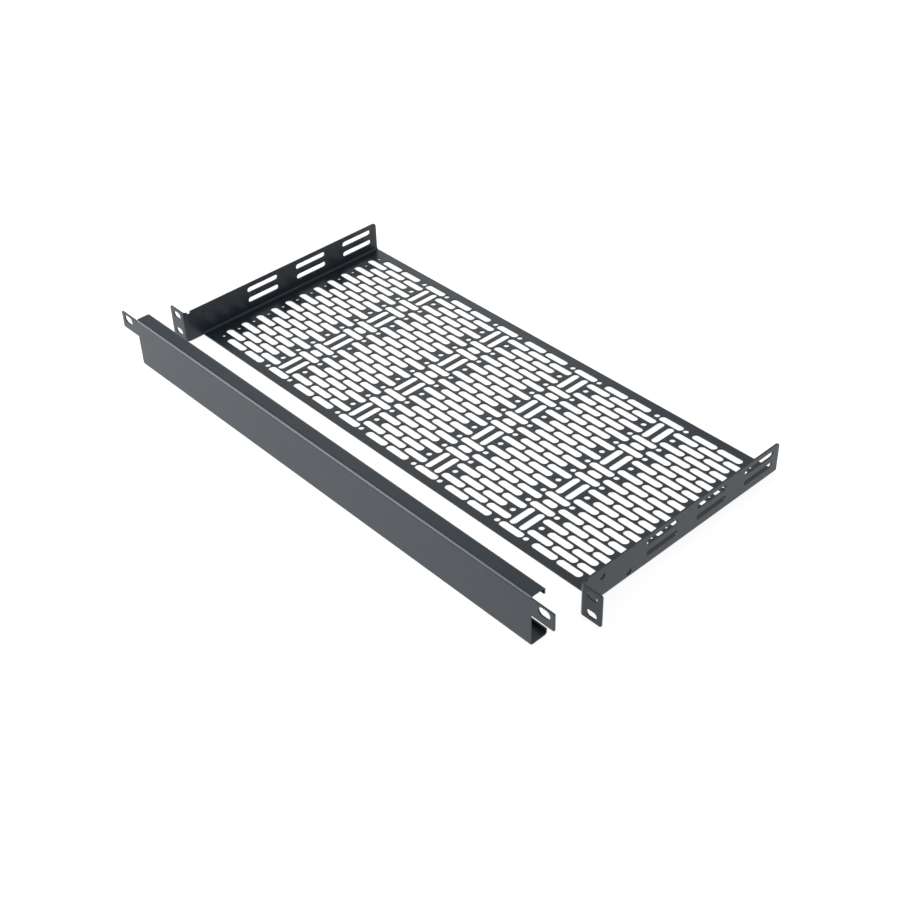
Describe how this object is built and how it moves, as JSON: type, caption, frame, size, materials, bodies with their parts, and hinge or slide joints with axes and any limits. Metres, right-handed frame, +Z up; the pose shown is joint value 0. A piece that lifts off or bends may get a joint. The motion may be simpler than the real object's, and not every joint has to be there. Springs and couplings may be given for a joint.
{
  "type": "rack shelf",
  "caption": "Vented steel rack shelf, a slotted folded tray with side flanges and ears, and its lipped front cover.",
  "frame": {"origin": "on the surface that both pieces stand on, at the middle of the ground that they cover", "axes": "+X across the rack, towards the right ear; +Y from the front to the back of the rack; +Z up from the tray"},
  "size_m": [0.4826, 0.2512, 0.0437],
  "materials": {
    "shelf_coat": "fine-textured satin black powder coat on steel sheet",
    "cover_coat": "fine-textured satin black powder coat on steel sheet"
  },
  "bodies": {
    "root": {"vented_shelf": "shelf_coat", "front_cover": "cover_coat"}
  },
  "joints": []
}
